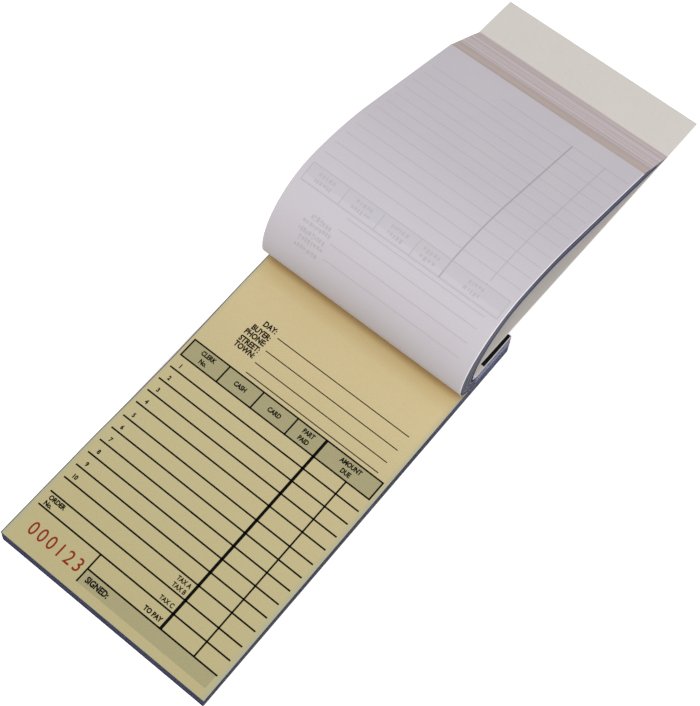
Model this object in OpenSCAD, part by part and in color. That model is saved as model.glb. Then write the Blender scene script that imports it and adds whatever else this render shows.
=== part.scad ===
// Sales book of carbonless forms, lying open on its back cover.
// The front cover is folded back over the bound head, and the used forms are turned
// over after it in a loose loop that comes down on the cover.
// +X runs across the width, +Y from the foot of the form to the bound head, +Z up.
// The origin is the middle of the book's underside.

/* [Leaves] */
// Width of the leaves and covers
leaf_w = 86; // [70:1:150]
// Length of a form, from its foot to the fold at the stub
form_l = 140; // [125:1:200]
// Length of the bound stub past the fold
stub_l = 20; // [16:0.5:36]
// Thickness of the unused forms that still lie flat
unused_t = 5.9; // [2:0.1:9]
// Thickness of one leaf
leaf_t = 0.08; // [0.05:0.01:0.15]
// Thickness of each pack of turned forms
pack_t = 1.35; // [0.8:0.05:2.4]
// Room between neighbouring packs
pack_gap = 0.15; // [0.12:0.01:0.3]
// Share of the leaves' thickness that the binding squeezes out at the bound end
pinch = 0.06; // [0.05:0.01:0.3]

/* [Loop of the turned forms] */
// Radius of the first bend, at the outside of the innermost pack
bulge_r = 4; // [3.2:0.1:8]
// How much more each pack's first bend opens than a snug one would
bulge_loose = 0.43; // [0:0.01:0.8]
// Radius of the crown of the loop, at the outside of the innermost pack
crown_r = 23.1; // [18:0.1:30]
// Radius where the loop runs out into its straight tail
fall_r = 90; // [50:1:150]
// Height at which the innermost leaf's end rests over the cover
rest_gap = 0.1; // [0.05:0.05:1]

/* [Covers] */
// Thickness of the back cover
back_t = 0.7; // [0.65:0.05:1.2]
// Thickness of the front cover
cover_t = 0.45; // [0.35:0.05:0.8]
// How far the front cover stops short of the foot of the forms
cover_inset = 3; // [0:0.5:8]
// Radius inside the front cover's fold
fold_r = 0.35; // [0.2:0.05:0.6]
// Slope at which the folded front cover falls away from the fold
cover_slope = 2.7; // [1:0.1:3]
// Width of the scored line that the front cover turns on
score_w = 0.3; // [0.1:0.05:1]

/* [Binding] */
// Thickness of the binding tape
tape_t = 0.2; // [0.1:0.05:0.25]
// Distance from the fold to the edge of the tape
tape_setback = 4.5; // [2:0.5:7]
// Distance from one staple's middle to the other's
staple_spacing = 43; // [20:1:50]
// Width of a staple's crown
crown_w = 12; // [8:0.5:16]
// Distance from the bound end to the staples
staple_inset = 8; // [5:0.5:8.5]
// Thickness of the flat staple wire
wire_t = 0.3; // [0.2:0.05:0.3]
// Width of the flat staple wire
wire_w = 0.8; // [0.5:0.1:1.2]
// Length of each clinched staple end
clinch_l = 4; // [2:0.5:5]
// Clearance round the staple wire
wire_gap = 0.05; // [0.02:0.01:0.1]

/* [Hidden] */
// Packs of turned forms, counted from the outermost, and the flat panels of each
packs = 4;
bulge_panels = 3;
crown_panels = 3;
panels = bulge_panels + crown_panels + 2;
unused_packs = 3;
// Clearance at the ends of each panel
panel_gap = 0.05;

total_l = form_l + stub_l;
pitch = pack_t + pack_gap;
page_z = back_t + unused_t;
stub_top = page_z + packs * pitch;
cover_top = stub_top + cover_t;
cover_l = form_l - cover_inset;
axis_z = cover_top + pack_gap + fold_r;
tape_y = form_l + tape_setback;
staple_y = total_l - staple_inset;
unused_pack_t = (unused_t - leaf_t) / unused_packs;

// Height at the distance y from the foot of a layer that lies at z before the fold
function squeezed(z, y) = back_t + (z - back_t) * (1 - pinch * max(0, y - form_l) / stub_l);
// The same for the top of the front cover's stub, whose board isn't squeezed
function top_at(y) = squeezed(stub_top, y) + cover_t;

// Unit vector along a leaf that heads at angle h, and the one towards the inside of the loop
function along(h) = [cos(h), sin(h)];
function inward(h) = [sin(h), -cos(h)];

// Headings of the panels at rest for the tail slope e, from straight back at the fold
function headings(e) = concat(
    [for (i = [0 : bulge_panels - 1]) 180 - 90 * (i + 0.5) / bulge_panels],
    [for (i = [0 : crown_panels - 1]) 90 - 90 * (i + 0.5) / crown_panels],
    [-e / 2, -e]);

// Lengths of the panels that are chords of the three bends, without the tail
function chords(r, e) = concat(
    [for (i = [1 : bulge_panels]) 2 * r[0] * sin(45 / bulge_panels)],
    [for (i = [1 : crown_panels]) 2 * r[1] * sin(45 / crown_panels)],
    [2 * r[2] * sin(e / 2)]);
function sum(v, i = 0) = i < len(v) ? v[i] + sum(v, i + 1) : 0;
function lengths(r, e) = let (c = chords(r, e)) concat(c, [form_l - sum(c)]);

// Where panel i starts, on the outside of pack p
function start(p, l, h, i) = i == 0
    ? [form_l, page_z + p * pitch + pack_gap]
    : start(p, l, h, i - 1) + l[i - 1] * along(h[i - 1]);

// The end of the innermost leaf, let out by the bends that it goes round on the inside
inner_r = [bulge_r, crown_r, fall_r];
function inner_end(e) = let (
    let_out = pack_t * (180 + e) * PI / 180,
    tail = start(packs - 1, lengths(inner_r, e), headings(e), panels))
    tail + let_out * along(-e) + pack_t * inward(-e);
// Its height over the folded cover, and the tail slope that brings it down to rest_gap
cover_face = [form_l, axis_z] + (fold_r + cover_t) * along(90 - cover_slope);
function height(e) = (inner_end(e) - cover_face) * along(90 - cover_slope);
function settle(low, high, n) = n == 0 ? (low + high) / 2 : let (e = (low + high) / 2)
    height(e) > rest_gap ? settle(e, high, n - 1) : settle(low, e, n - 1);
tail_slope = settle(2, 60, 30);

// Bend radii of pack p: looser at the first bend, and just as much snugger at the crown
crown_share = (cos(tail_slope) - sin(tail_slope)) / (cos(tail_slope) + sin(tail_slope));
function radii(p) = let (out = packs - 1 - p) inner_r
    + out * [pitch + bulge_loose, pitch - bulge_loose * crown_share, pitch];
panel_headings = headings(tail_slope);

function panel_name(p, i) = str("pack_", p + 1, "_panel_", i + 1);

// A side profile in y from the foot and z, drawn out across the width w at the distance x
module across(points, w = leaf_w, x = 0)
    translate([x, -total_l / 2, 0]) rotate([90, 0, 90]) linear_extrude(w, center = true) polygon(points);

// Holes for both staples' legs through every layer of the stub
module leg_holes()
    for (side = [-1, 1], leg = [-1, 1])
        translate([side * staple_spacing / 2 + leg * (crown_w - wire_t) / 2, staple_y - total_l / 2, 0])
            cube([wire_t + 2 * wire_gap, wire_w + 2 * wire_gap, 4 * cover_top], center = true);

// The crown of one staple, flush with the top of the cover's stub
// Its groove is wider by gap and open above by rise
module crown_bar(x, gap = 0, rise = 0) {
    low = staple_y - wire_w / 2 - gap;
    high = staple_y + wire_w / 2 + gap;
    across([[low, top_at(low) + rise], [high, top_at(high) + rise],
            [high, top_at(high) - wire_t], [low, top_at(low) - wire_t]], crown_w + 2 * gap, x);
}

// The clinched ends of one staple, flush with the underside of the board above the tape
// Their grooves are wider by gap and open below by drop
module clinches(x, gap = 0, drop = 0)
    for (leg = [-1, 1])
        translate([x + leg * (crown_w - clinch_l) / 2, staple_y - total_l / 2, tape_t + (wire_t - drop) / 2])
            cube([clinch_l + 2 * gap, wire_w + 2 * gap, wire_t + drop], center = true);

// Chipboard back, with a rebate for the tape and grooves for the clinched staples
module back_cover() color("#cfcbc4") difference() {
    across([[0, 0], [tape_y, 0], [tape_y, tape_t], [total_l, tape_t], [total_l, back_t], [0, back_t]]);
    for (side = [-1, 1]) clinches(side * staple_spacing / 2, wire_gap, tape_t);
    leg_holes();
}

// A layer that lies flat on the forms below it and is squeezed in the binding
module flat_layer(low, high, from = 0) difference() {
    across(concat(
        from < form_l ? [[from, low], [form_l, low]] : [[form_l, low]],
        [[total_l, squeezed(low, total_l)], [total_l, squeezed(high, total_l)]],
        from < form_l ? [[form_l, high], [from, high]] : [[form_l, high]]));
    leg_holes();
}

// Unused sets of forms, k = 1 the lowest
module unused_forms(k) color("#8f93b4")
    flat_layer(back_t + (k - 1) * unused_pack_t, back_t + k * unused_pack_t);

// The yellow copy that lies uppermost
module duplicate_leaf() color("#d8c98f") flat_layer(page_z - leaf_t, page_z);

// Stub of one pack of turned forms, k = 1 the outermost
module turned_stub(k) color("#7c80a6")
    flat_layer(page_z + (k - 1) * pitch, page_z + k * pitch, form_l);

// Stub of the front cover, held by the tape and grooved for the staple crowns
module front_cover_stub() color("#c9c5be") difference() {
    across([[form_l, stub_top], [total_l, squeezed(stub_top, total_l)],
            [total_l, top_at(total_l)], [form_l, cover_top]]);
    for (side = [-1, 1]) crown_bar(side * staple_spacing / 2, wire_gap, cover_t);
    leg_holes();
}

// Cloth tape round the bound end, from the cover's stub to the underside of the back
module binding_tape() color("#1d1d20")
    across([[tape_y, top_at(tape_y)], [total_l, top_at(total_l)], [total_l, tape_t], [tape_y, tape_t],
            [tape_y, 0], [total_l + tape_t, 0], [total_l + tape_t, top_at(total_l) + tape_t],
            [tape_y, top_at(tape_y) + tape_t]]);

// One flat-wire staple: crown, two legs and their clinched ends
module staple(side) color("silver") union() {
    x = side * staple_spacing / 2;
    crown_bar(x);
    leg_h = top_at(staple_y + wire_w / 2) - tape_t - wire_t / 2;
    for (leg = [-1, 1])
        translate([x + leg * (crown_w - wire_t) / 2, staple_y - total_l / 2, tape_t + leg_h / 2])
            cube([wire_t, wire_w, leg_h], center = true);
    clinches(x);
}

// Front cover, folded back over the binding
module front_cover() color("#d2cec7") {
    out = along(-cover_slope);
    up = along(90 - cover_slope);
    axis = [form_l, axis_z];
    across([axis + score_w * out + fold_r * up, axis + cover_l * out + fold_r * up,
            axis + cover_l * out + (fold_r + cover_t) * up, axis + score_w * out + (fold_r + cover_t) * up]);
}

// Panel i of pack p: a flat stretch of its leaves between two bends, mitred on the inside
module panel(p, i) color(p == 0 ? "#d9d6df" : "#a9a7bd") {
    l = lengths(radii(p), tail_slope);
    h = panel_headings;
    from = start(p, l, h, i);
    back_cut = i == 0 ? tan(180 - h[0]) : tan((h[i - 1] - h[i]) / 2);
    front_cut = i == panels - 1 ? 0 : tan((h[i] - h[i + 1]) / 2);
    out = along(h[i]);
    in = pack_t * inward(h[i]);
    across([from + panel_gap * out, from + (l[i] - panel_gap) * out,
            from + (l[i] - panel_gap - pack_t * front_cut) * out + in,
            from + (panel_gap + pack_t * back_cut) * out + in]);
}

back_cover();
duplicate_leaf();
front_cover_stub();
binding_tape();
staple(-1);  // staple_left
staple(1);  // staple_right
front_cover();
for (k = [1 : unused_packs])
    unused_forms(k);
for (p = [1 : packs])
    turned_stub(p);
for (p = [0 : packs - 1], i = [0 : panels - 1])
    panel(p, i);
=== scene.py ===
"""Open sales book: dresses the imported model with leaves, boards, tape and a printed form."""

import operator
import random
from collections import namedtuple
from itertools import accumulate
from math import asin, atan2, copysign, cos, degrees, exp, pi, radians, sin

import bmesh
import bpy
from mathutils import Matrix, Vector

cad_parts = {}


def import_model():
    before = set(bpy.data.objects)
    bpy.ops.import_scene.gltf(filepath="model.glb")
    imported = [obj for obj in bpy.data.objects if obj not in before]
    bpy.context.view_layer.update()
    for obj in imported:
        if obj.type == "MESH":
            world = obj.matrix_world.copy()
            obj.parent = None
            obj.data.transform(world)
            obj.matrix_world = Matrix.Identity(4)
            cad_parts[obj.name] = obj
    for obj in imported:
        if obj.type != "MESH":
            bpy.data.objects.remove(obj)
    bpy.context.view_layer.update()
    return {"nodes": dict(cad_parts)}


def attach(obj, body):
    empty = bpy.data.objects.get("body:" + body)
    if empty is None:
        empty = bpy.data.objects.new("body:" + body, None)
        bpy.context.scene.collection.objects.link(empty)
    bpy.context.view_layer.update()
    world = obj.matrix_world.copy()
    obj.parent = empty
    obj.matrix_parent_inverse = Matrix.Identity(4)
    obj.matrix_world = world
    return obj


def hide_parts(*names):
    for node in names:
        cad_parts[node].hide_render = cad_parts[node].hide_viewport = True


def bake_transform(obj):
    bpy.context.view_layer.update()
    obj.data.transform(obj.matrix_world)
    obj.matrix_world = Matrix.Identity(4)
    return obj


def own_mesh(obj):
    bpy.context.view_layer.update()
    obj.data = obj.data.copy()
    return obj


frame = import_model()

MM = 0.001
rng = random.Random(5)

# Sizes of the part in millimetres: y runs from the foot of the form, z up from the table
LEAF_W = 86.0
HALF_W = LEAF_W / 2
FORM_L = 140.0
TOTAL_L = 160.0
BACK_T = 0.7
UNUSED_T = 5.9
PAGE_Z = BACK_T + UNUSED_T
DUPLICATE_T = 0.08
# Share of its height that the stack loses up to the bound end
PINCH = 0.06

# The front cover, folded back over its stub, and the binding
COVER_T = 0.45
COVER_L = 137.0
COVER_SLOPE = 2.7
COVER_SKEW = 1.6
FOLD_R = 0.35
SCORE_W = 0.3
TAPE_T = 0.2
TAPE_Y = 144.5
TAPE_SHORT = 0.3
STAPLE_X = 21.5
STAPLE_Y = 152.0
STAPLE_W = 12.0

# The loop of the turned forms: packs from the outermost, bends from the fold to the tail
PACKS = 4
PACK_T = 1.35
PACK_GAP = 0.15
PITCH = PACK_T + PACK_GAP
STUB_TOP = PAGE_Z + PACKS * PITCH
AXIS_Z = STUB_TOP + COVER_T + PACK_GAP + FOLD_R
TAIL_SLOPE = 18.5941
# Outside radii of the bulge, the crown and the fall, for the innermost and the outermost pack
INNER_R = (4.0, 23.1, 90.0)
OUTER_R = (9.79, 26.9595, 94.5)
# Panels in these three bends, what the bends turn through, and the headings where the first two end
FOLD_HEADING = 180.0
BEND_PANELS = (3, 3, 1)
BEND_TURNS = (90.0, 90.0, TAIL_SLOPE)
BEND_ENDS = list(accumulate(BEND_TURNS[:2], operator.sub, initial=FOLD_HEADING))[1:]
# What each panel's leaves turn through, and their headings at the hinges and in its middle
PANEL_TURNS = [turn / count for turn, count in zip(BEND_TURNS, BEND_PANELS) for _ in range(count)] + [0.0]
HINGE_HEADINGS = list(accumulate(PANEL_TURNS[:-1], operator.sub, initial=FOLD_HEADING))[1:]
PANEL_MIDS = [heading + turn / 2 for heading, turn in zip(HINGE_HEADINGS, PANEL_TURNS)]

# Leaves in each pack, how far their cut edges differ, and how far the outermost one stands proud
UNUSED_PACKS = 3
UNUSED_LEAVES = 24
PACK_LEAVES = 16
EDGE_JITTER = 0.08
LEAST_JITTER = 0.02
TOP_PROUD = 0.06
# The leaves just under the yellow copy lie askew: (y, inset of their left side)
ASKEW_LEAVES = 6
ASKEW_LEFT = ((0.0, -0.3), (45.0, -0.05), (62.0, 0.4), (82.0, 0.6),
              (100.0, 0.4), (118.0, 0.05), (140.0, 0.05), (160.0, 0.1))
# Where flat leaves have cross-sections past their free end
FORM_STOPS = [y for y, _ in ASKEW_LEFT[1:]]
STUB_STOPS = [(FORM_L + TOTAL_L) / 2, TOTAL_L]
# What the yellow copy leaves bare of them, and how far it goes past them on the right (foot, fold)
BARE_LEFT = 0.4
PAST_RIGHT = (0.2, -0.05)
# The lower leaves reach further towards the foot, and the yellow copy is a little short there
FOOT_FAN = 0.42
COPY_SHORT = 0.12

# Free ends of the turned leaves: let out by depth, toned by number, uneven
LET_OUT = radians(FOLD_HEADING + TAIL_SLOPE)
TAN_LEAVES = 16
WHITE_LEAVES = (25, 32, 42)
END_JITTER = 0.06
END_SKEW = 0.1

# The printed form, in millimetres from the left and the foot
ROW_TOP = 79.02
ROW_PITCH = 5.71
WIDE_PITCH = 6.36
WIDE_ROWS = (4, 10)
ROW_COUNT = 12
NUMBERED_ROWS = 10
ROW_X = (2.3, 84.3)
LAST_ROW = 8.73
HEADER = (84.5, 91.9)
HEADER_X = (2.3, 18.1, 33.1, 48.1, 60.6, 84.3)
HEAVY_X, THIN_X, SHORT_X = 60.6, 74.6, 29.7
FILL_INS = (110.3, 104.1, 98.4, 93.7)
FILL_X = (23.5, 80.8)
SIGN_BAND = (30.0, 83.9, 3.4, 8.73)
RULE_W, HEAVY_W, FINE_W = 0.6, 1.1, 0.38
# Heights of the ruled rows from the uppermost down, and the sides of the header's cells
ROW_STEPS = [WIDE_PITCH if k in WIDE_ROWS else ROW_PITCH for k in range(1, ROW_COUNT)]
ROWS = list(accumulate(ROW_STEPS, operator.sub, initial=ROW_TOP))
CELLS = list(zip(HEADER_X, HEADER_X[1:]))


def place(x, y, z):
    """Point of the frame from millimetres: x from the middle, y from the foot, z from the table."""
    return Vector((x * MM, (y - TOTAL_L / 2) * MM, z * MM))


def onward(heading):
    """Unit vector in y and z of a heading in degrees."""
    a = radians(heading)
    return cos(a), sin(a)


def band(middle, half):
    """Low and high side of a band."""
    return middle - half, middle + half


def squeezed(z, y):
    """Height at y of a layer that lies at z before the fold: the binding squeezes it."""
    return BACK_T + (z - BACK_T) * (1 - PINCH * max(0.0, y - FORM_L) / (TOTAL_L - FORM_L))


# Materials

def srgb(r, g, b):
    """Linear colour from 0 to 255 display values."""
    def lin(v):
        v /= 255
        return v / 12.92 if v <= 0.04045 else ((v + 0.055) / 1.055) ** 2.4
    return (lin(r), lin(g), lin(b), 1.0)


def grey(v):
    """Neutral linear tone."""
    return (v, v, v, 1.0)


def shades(*rows):
    """Ramp stops from rows of a position and three display values."""
    return [(position, srgb(*colour)) for position, *colour in rows]


def add_node(tree, kind, **values):
    """A new node of a tree, with these input values."""
    node = tree.nodes.new("ShaderNode" + kind)
    for name, value in values.items():
        node.inputs[name].default_value = value
    return node


class Recipe:
    """A Principled material with small helpers for its node tree."""

    # Colour sockets of the mix node: its two inputs and its output
    MIX_A, MIX_B, MIXED = 6, 7, 2

    def __init__(self, name, roughness, specular):
        self.material = bpy.data.materials.new(name)
        self.material.use_nodes = True
        self.tree = self.material.node_tree
        self.shader = self.tree.nodes["Principled BSDF"]
        self.shader.inputs["Roughness"].default_value = roughness
        self.shader.inputs["Specular IOR Level"].default_value = specular
        self.coords = self.node("TexCoord")

    def node(self, kind, **values):
        return add_node(self.tree, kind, **values)

    def link(self, source, target):
        """Gives an input the output of another node, or a number."""
        if isinstance(source, (int, float)):
            target.default_value = source
        else:
            self.tree.links.new(source, target)

    def mapped(self, scale, space="Object", rotation=(0, 0, 0)):
        """Coordinates in metres, stretched by scale."""
        node = self.node("Mapping", Scale=scale, Rotation=rotation)
        self.link(self.coords.outputs[space], node.inputs["Vector"])
        return node.outputs["Vector"]

    def split(self, space):
        """Coordinates as separate X, Y and Z outputs."""
        node = self.node("SeparateXYZ")
        self.link(self.coords.outputs[space], node.inputs[0])
        return node.outputs

    def noise(self, scale, space="Object", detail=4, rough=0.55):
        """Noise from 0 to 1 in stretched coordinates."""
        node = self.node("TexNoise", Scale=1.0, Detail=detail, Roughness=rough)
        self.link(self.mapped(scale, space), node.inputs["Vector"])
        return node.outputs["Fac"]

    def ramp(self, fac, stops):
        """Colour ramp with stops of (position, colour)."""
        node = self.node("ValToRGB")
        elements = node.color_ramp.elements
        while len(elements) < len(stops):
            elements.new(0.5)
        for element, (position, colour) in zip(elements, stops):
            element.position = position
            element.color = colour
        self.link(fac, node.inputs["Fac"])
        return node.outputs["Color"]

    def mix(self, fac, a, b, mode="MIX"):
        """Mixes two colours by fac, a socket or a number."""
        node = self.node("Mix")
        node.data_type = "RGBA"
        node.blend_type = mode
        self.link(fac, node.inputs[0])
        self.link(a, node.inputs[self.MIX_A])
        self.link(b, node.inputs[self.MIX_B])
        return node.outputs[self.MIXED]

    def math(self, operation, a, b):
        node = self.node("Math")
        node.operation = operation
        self.link(a, node.inputs[0])
        self.link(b, node.inputs[1])
        return node.outputs[0]

    def bump(self, height, distance, strength):
        node = self.node("Bump", Strength=strength, Distance=distance)
        self.link(height, node.inputs["Height"])
        self.link(node.outputs["Normal"], self.shader.inputs["Normal"])

    def roughen(self, fac, low, high):
        node = self.node("MapRange", **{"To Min": low, "To Max": high})
        self.link(fac, node.inputs["Value"])
        self.link(node.outputs["Result"], self.shader.inputs["Roughness"])

    def colour(self, socket):
        """Sets the base colour and gives the finished material."""
        self.link(socket, self.shader.inputs["Base Color"])
        return self.material


# The yellow copy's edges turn paler over PAGE_EDGE, and this many times faster at the foot
PAGE_EDGE = 2.0
FOOT_EDGE = 3.0


def page_toned(m, colour, tones, edge):
    """A form's colour times tones along it, as (y, multiplier), turning to another at its sides and foot."""
    at = m.split("Object")
    up = m.math("ADD", at["Y"], TOTAL_L / 2 * MM)
    aside = m.math("SUBTRACT", HALF_W * MM, m.math("ABSOLUTE", at["X"], 0.0))
    along = m.math("MULTIPLY", up, 1 / (FORM_L * MM))
    toned = m.ramp(along, [(y / FORM_L, tone) for y, tone in tones])
    inside = m.math("MINIMUM", aside, m.math("MULTIPLY", up, FOOT_EDGE))
    near_edge = m.math("DIVIDE", inside, PAGE_EDGE * MM)
    edged = m.ramp(near_edge, [(0.0, grey(0.6)), (0.4, grey(0.3)), (1.0, grey(0.0))])
    rim = m.node("RGB")
    rim.outputs[0].default_value = srgb(*edge)
    return m.mix(edged, m.mix(1.0, colour, toned, "MULTIPLY"), rim.outputs[0])


def paper(name, light, dark, cast, space="Object", page=None):
    """Matt uncoated paper: fibres, cloudy formation and a faint cast in large patches.

    page gives what page_toned needs, for a leaf with tones of its own."""
    m = Recipe(name, roughness=0.9, specular=0.15)
    fibre = m.noise((2600, 1500, 2600), space, detail=5)
    cloud = m.noise((70, 55, 70), space, detail=3)
    base = m.ramp(fibre, shades((0.3, *dark), (0.62, *light)))
    tint = m.ramp(cloud, shades((0.35, *light), (0.7, *cast)))
    colour = m.mix(0.45, base, tint)
    if page:
        colour = page_toned(m, colour, *page)
    m.roughen(fibre, low=0.82, high=0.95)
    m.bump(fibre, distance=0.02 * MM, strength=0.35)
    return m.colour(colour)


def leaf_edges(name, low, high, bands, spread, far=None):
    """Cut edges of stacked leaves, drawn in the side's own u (along) and v (through the stack).

    bands are tones by v from low to high in millimetres, and spread is how much single leaves differ.
    far holds the bands that they turn to along u, and the stretch of u."""
    m = Recipe(name, roughness=0.85, specular=0.1)
    at = m.split("UV")
    through = m.math("DIVIDE", m.math("SUBTRACT", at["Y"], low * MM), (high - low) * MM)
    colour = m.ramp(through, bands)
    if far:
        far_bands, (start, end) = far
        along = m.math("DIVIDE", m.math("SUBTRACT", at["X"], start * MM), (end - start) * MM)
        shares = m.ramp(along, [(0.0, grey(0.0)), (1.0, grey(1.0))])
        colour = m.mix(shares, colour, m.ramp(through, far_bands))
    lines = m.noise((90, 9000, 1), "UV", detail=3, rough=0.7)
    drift = m.noise((35, 1500, 1), "UV", detail=2)
    grain = m.noise((900, 2600, 1), "UV", detail=3)
    for noise, share in ((lines, spread), (drift, 0.6 * spread), (grain, 0.5 * spread)):
        tone = m.ramp(noise, [(0.3, grey(1 - share)), (0.7, grey(1.0))])
        colour = m.mix(1.0, colour, tone, "MULTIPLY")
    m.bump(lines, distance=0.04 * MM, strength=0.5)
    return m.colour(colour)


def leaf_ends(name, tones):
    """Staggered leaf ends: each leaf has its own tone, from its place v in the stack."""
    m = Recipe(name, roughness=0.9, specular=0.15)
    tone = m.noise((4, 9000, 1), "UV", detail=3, rough=0.7)
    fibre = m.noise((2200, 2200, 2200), detail=4)
    colour = m.ramp(tone, tones)
    speck = m.ramp(fibre, [(0.3, grey(0.9)), (0.7, grey(1.0))])
    m.bump(fibre, distance=0.02 * MM, strength=0.4)
    return m.colour(m.mix(0.6, colour, speck, "MULTIPLY"))


def chipboard(name, light, dark, fleck):
    """Grey chipboard: pressed fibres, small flecks and a slight gloss in the pressed spots."""
    m = Recipe(name, roughness=0.8, specular=0.25)
    fibre = m.noise((1300, 500, 1300), detail=6, rough=0.65)
    cloud = m.noise((60, 40, 60), detail=3)
    spots = m.noise((900, 900, 900), detail=1)
    base = m.ramp(fibre, shades((0.28, *dark), (0.66, *light)))
    tint = m.ramp(cloud, shades((0.3, *dark), (0.7, *light)))
    flecks = m.ramp(spots, shades((0.7, *light), (0.76, *fleck)))
    colour = m.mix(0.4, m.mix(0.35, base, tint), flecks)
    m.roughen(fibre, low=0.7, high=0.9)
    m.bump(fibre, distance=0.04 * MM, strength=0.4)
    return m.colour(colour)


def cloth_tape(name, dark, light):
    """Black book cloth: a plain weave of fine threads with dull thread tops."""
    m = Recipe(name, roughness=0.65, specular=0.15)
    threads = []
    for angle in (0.0, pi / 2):
        wave = m.node("TexWave", Scale=1.0, Distortion=1.5)
        m.link(m.mapped((700, 700, 700), rotation=(0, 0, angle)), wave.inputs["Vector"])
        threads.append(wave.outputs["Fac"])
    weave = m.math("MULTIPLY", threads[0], threads[1])
    wear = m.noise((120, 120, 120), detail=4)
    m.roughen(wear, low=0.5, high=0.75)
    m.bump(weave, distance=0.06 * MM, strength=0.6)
    worn = m.math("ADD", m.math("MULTIPLY", weave, 0.6), m.math("MULTIPLY", wear, 0.4))
    return m.colour(m.ramp(worn, shades((0.2, *dark), (0.9, *light))))


def wire_steel(name, dark, light):
    """Drawn stitching wire with lengthwise draw marks."""
    m = Recipe(name, roughness=0.35, specular=0.5)
    m.shader.inputs["Metallic"].default_value = 1.0
    marks = m.noise((300, 6000, 6000), detail=3)
    m.roughen(marks, low=0.25, high=0.5)
    return m.colour(m.ramp(marks, shades((0.3, *dark), (0.7, *light))))


def ink(name, full, thin):
    """Printing ink whose cover varies with the paper's fibres."""
    m = Recipe(name, roughness=0.75, specular=0.08)
    cover = m.noise((2400, 2400, 2400), detail=4, rough=0.7)
    return m.colour(m.ramp(cover, shades((0.45, *full), (0.8, *thin))))


# Papers: light and dark fibres, and the cast of the patches
# Tones along the yellow copy, as (y, multiplier): darker towards the foot, and from 124 mm on a warm painted
# shade where the turned leaves overhang the page at the fold
PAGE_TONES_AND_FOLD_SHADE = ((0.0, (0.74, 0.79, 0.75, 1)), (50.0, (0.80, 0.85, 0.84, 1)), (84.0, (0.84, 0.88, 0.88, 1)),
              (124.0, (1, 1, 1, 1)), (130.5, (0.93, 0.87, 0.78, 1)), (134.0, (0.74, 0.56, 0.38, 1)))
CANARY = paper("canary_paper", (208, 192, 148), (198, 180, 136), (207, 189, 143),
               page=(PAGE_TONES_AND_FOLD_SHADE, (158, 168, 152)))
LEAF_BACK = paper("original_back", (199, 195, 202), (191, 187, 194), (198, 190, 200), "UV")
# Whiter paper for the bright strip along the right side of the outermost turned leaf: a painted highlight
LEAF_EDGE_HIGHLIGHT = paper("original_edge_highlight", (236, 234, 239), (226, 223, 229), (233, 229, 236), "UV")
# Dark paper on top of the uppermost askew leaf: painted shade, the dark line along the left side of the
# yellow copy
SHADE_LINE_PAPER = paper("shade_line_paper", (92, 97, 94), (74, 79, 78), (86, 90, 88))
FORM_PAPER = paper("form_paper", (222, 214, 220), (210, 201, 208), (218, 207, 214))
SHADED_PAPER = paper("shaded_paper", (150, 150, 166), (138, 138, 154), (146, 145, 162))

# Cut edges: bands from the outside of the loop to its inside, and from the back cover up
FOLD_BANDS = shades((0.0, 44, 46, 68), (0.14, 116, 119, 136), (0.72, 114, 118, 136), (0.9, 50, 52, 78))
TAIL_BANDS = shades((0.0, 60, 62, 88), (0.3, 70, 72, 100), (0.42, 166, 169, 198),
                    (0.54, 92, 95, 132), (0.84, 84, 87, 120), (1.0, 214, 211, 220))
STUB_BANDS = shades((0.0, 104, 108, 142), (0.12, 176, 180, 216), (0.8, 190, 194, 228), (1.0, 146, 150, 188))
STACK_BANDS = shades((0.0, 98, 102, 124), (0.35, 122, 126, 150), (0.66, 96, 99, 126), (0.9, 62, 64, 90))
BOUND_BANDS = shades((0.0, 150, 152, 172), (0.2, 128, 132, 170), (0.85, 140, 144, 186), (1.0, 72, 74, 104))
FOOT_BANDS = shades((0.0, 56, 57, 80), (0.35, 98, 100, 140), (0.66, 92, 94, 132), (0.9, 56, 57, 80))
FOLD_Y = FORM_L - TOTAL_L / 2
TAIL_STRETCH = (24.0, 58.0)
BOUND_STRETCH = (FOLD_Y - 28.0, FOLD_Y + 6.0)
SIDE_EDGES = leaf_edges("turned_edges", 0.0, PACKS * PITCH, FOLD_BANDS, 0.5, (TAIL_BANDS, TAIL_STRETCH))
STUB_EDGES = leaf_edges("stub_edges", PAGE_Z, STUB_TOP, STUB_BANDS, 0.34)
STACK_EDGES = leaf_edges("stack_edges", BACK_T, PAGE_Z, STACK_BANDS, 0.35, (BOUND_BANDS, BOUND_STRETCH))
FOOT_EDGES = leaf_edges("foot_edges", BACK_T, PAGE_Z, FOOT_BANDS, 0.35)
PINK_ENDS = leaf_ends("pink_ends", shades((0.3, 164, 148, 149), (0.5, 196, 183, 185), (0.7, 213, 202, 205)))
TAN_ENDS = leaf_ends("tan_ends", shades((0.3, 164, 149, 143), (0.5, 186, 171, 166), (0.7, 201, 187, 184)))
WHITE_ENDS = leaf_ends("white_ends", shades((0.3, 208, 199, 203), (0.7, 219, 212, 217)))

# Boards, cloth, wire and inks
BOARD = chipboard("cover_board", (214, 210, 204), (205, 201, 195), (197, 192, 184))
TAPE = cloth_tape("book_cloth", (3, 3, 4), (16, 16, 18))
STEEL = wire_steel("stitching_wire", (150, 150, 153), (196, 196, 198))
INK = ink("form_ink", (4, 4, 4), (16, 15, 13))
FINE_INK = ink("fine_ink", (30, 24, 16), (56, 47, 32))
TINT = ink("tint_ink", (159, 153, 116), (171, 164, 127))
RED_INK = ink("serial_ink", (132, 34, 22), (152, 60, 44))
GHOST = ink("show_through", (181, 178, 184), (187, 183, 190))
FAINT_GHOST = ink("faint_show_through", (191, 188, 195), (195, 190, 197))
HEAVY_GHOST = ink("heavy_show_through", (168, 165, 171), (177, 173, 180))


# Mesh helpers

def add_object(name, data):
    """A new object in the scene."""
    obj = bpy.data.objects.new(name, data)
    bpy.context.scene.collection.objects.link(obj)
    return obj


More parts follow.
